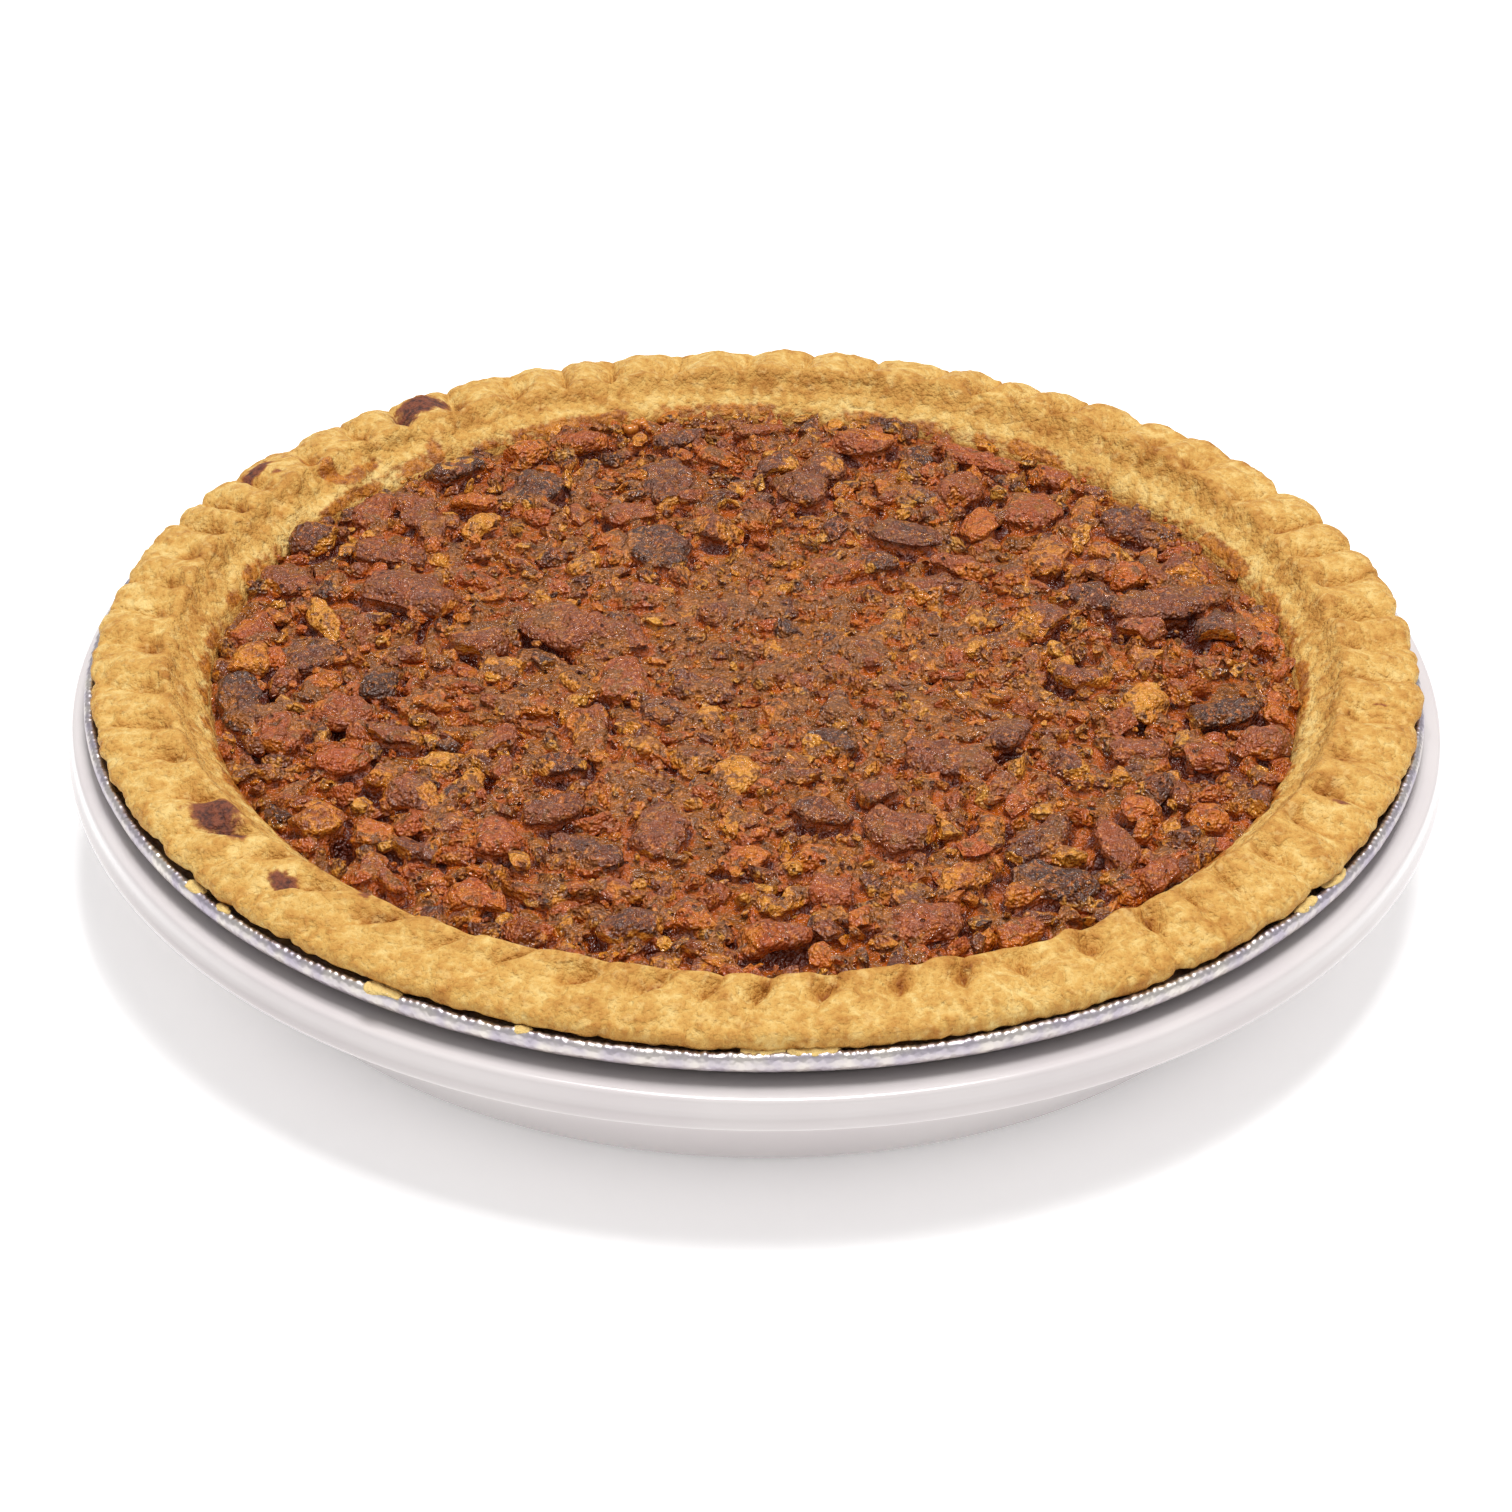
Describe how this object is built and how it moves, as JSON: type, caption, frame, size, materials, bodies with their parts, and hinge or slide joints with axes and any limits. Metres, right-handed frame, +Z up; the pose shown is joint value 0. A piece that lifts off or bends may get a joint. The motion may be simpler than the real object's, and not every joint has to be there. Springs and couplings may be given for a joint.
{
  "type": "pecan pie",
  "caption": "Round pecan pie with a crimped pastry rim and a top of chopped nuts, baked in a rolled-rim foil tin that stands in a white glazed pie dish.",
  "frame": {"origin": "middle of the dish's foot, on the surface it stands on", "axes": "+Z up out of the pie's top, -Y towards the side of the rim that rides highest, +X to the right of it"},
  "size_m": [0.258, 0.258, 0.0435],
  "materials": {
    "pastry": "baked, golden brown, matt",
    "custard": "baked caramel custard with chopped nuts, satin",
    "pecan": "sticky red-brown nut skin, satin",
    "foil": "crimped bright foil",
    "glaze": "white gloss glaze"
  },
  "bodies": {
    "root": {"dish": "glaze", "tin": "foil", "crust": "pastry", "filling": "custard", "pecan_01": "pecan", "pecan_02": "pecan", "pecan_03": "pecan", "pecan_04": "pecan", "pecan_05": "pecan", "pecan_06": "pecan", "pecan_07": "pecan", "pecan_08": "pecan", "pecan_09": "pecan", "pecan_10": "pecan", "pecan_11": "pecan", "pecan_12": "pecan", "pecan_13": "pecan", "pecan_14": "pecan", "pecan_15": "pecan", "pecan_16": "pecan", "pecan_17": "pecan", "pecan_18": "pecan", "pecan_19": "pecan", "pecan_20": "pecan", "pecan_21": "pecan", "pecan_22": "pecan", "pecan_23": "pecan", "pecan_24": "pecan", "pecan_25": "pecan", "pecan_26": "pecan", "pecan_27": "pecan", "pecan_28": "pecan"}
  },
  "joints": []
}
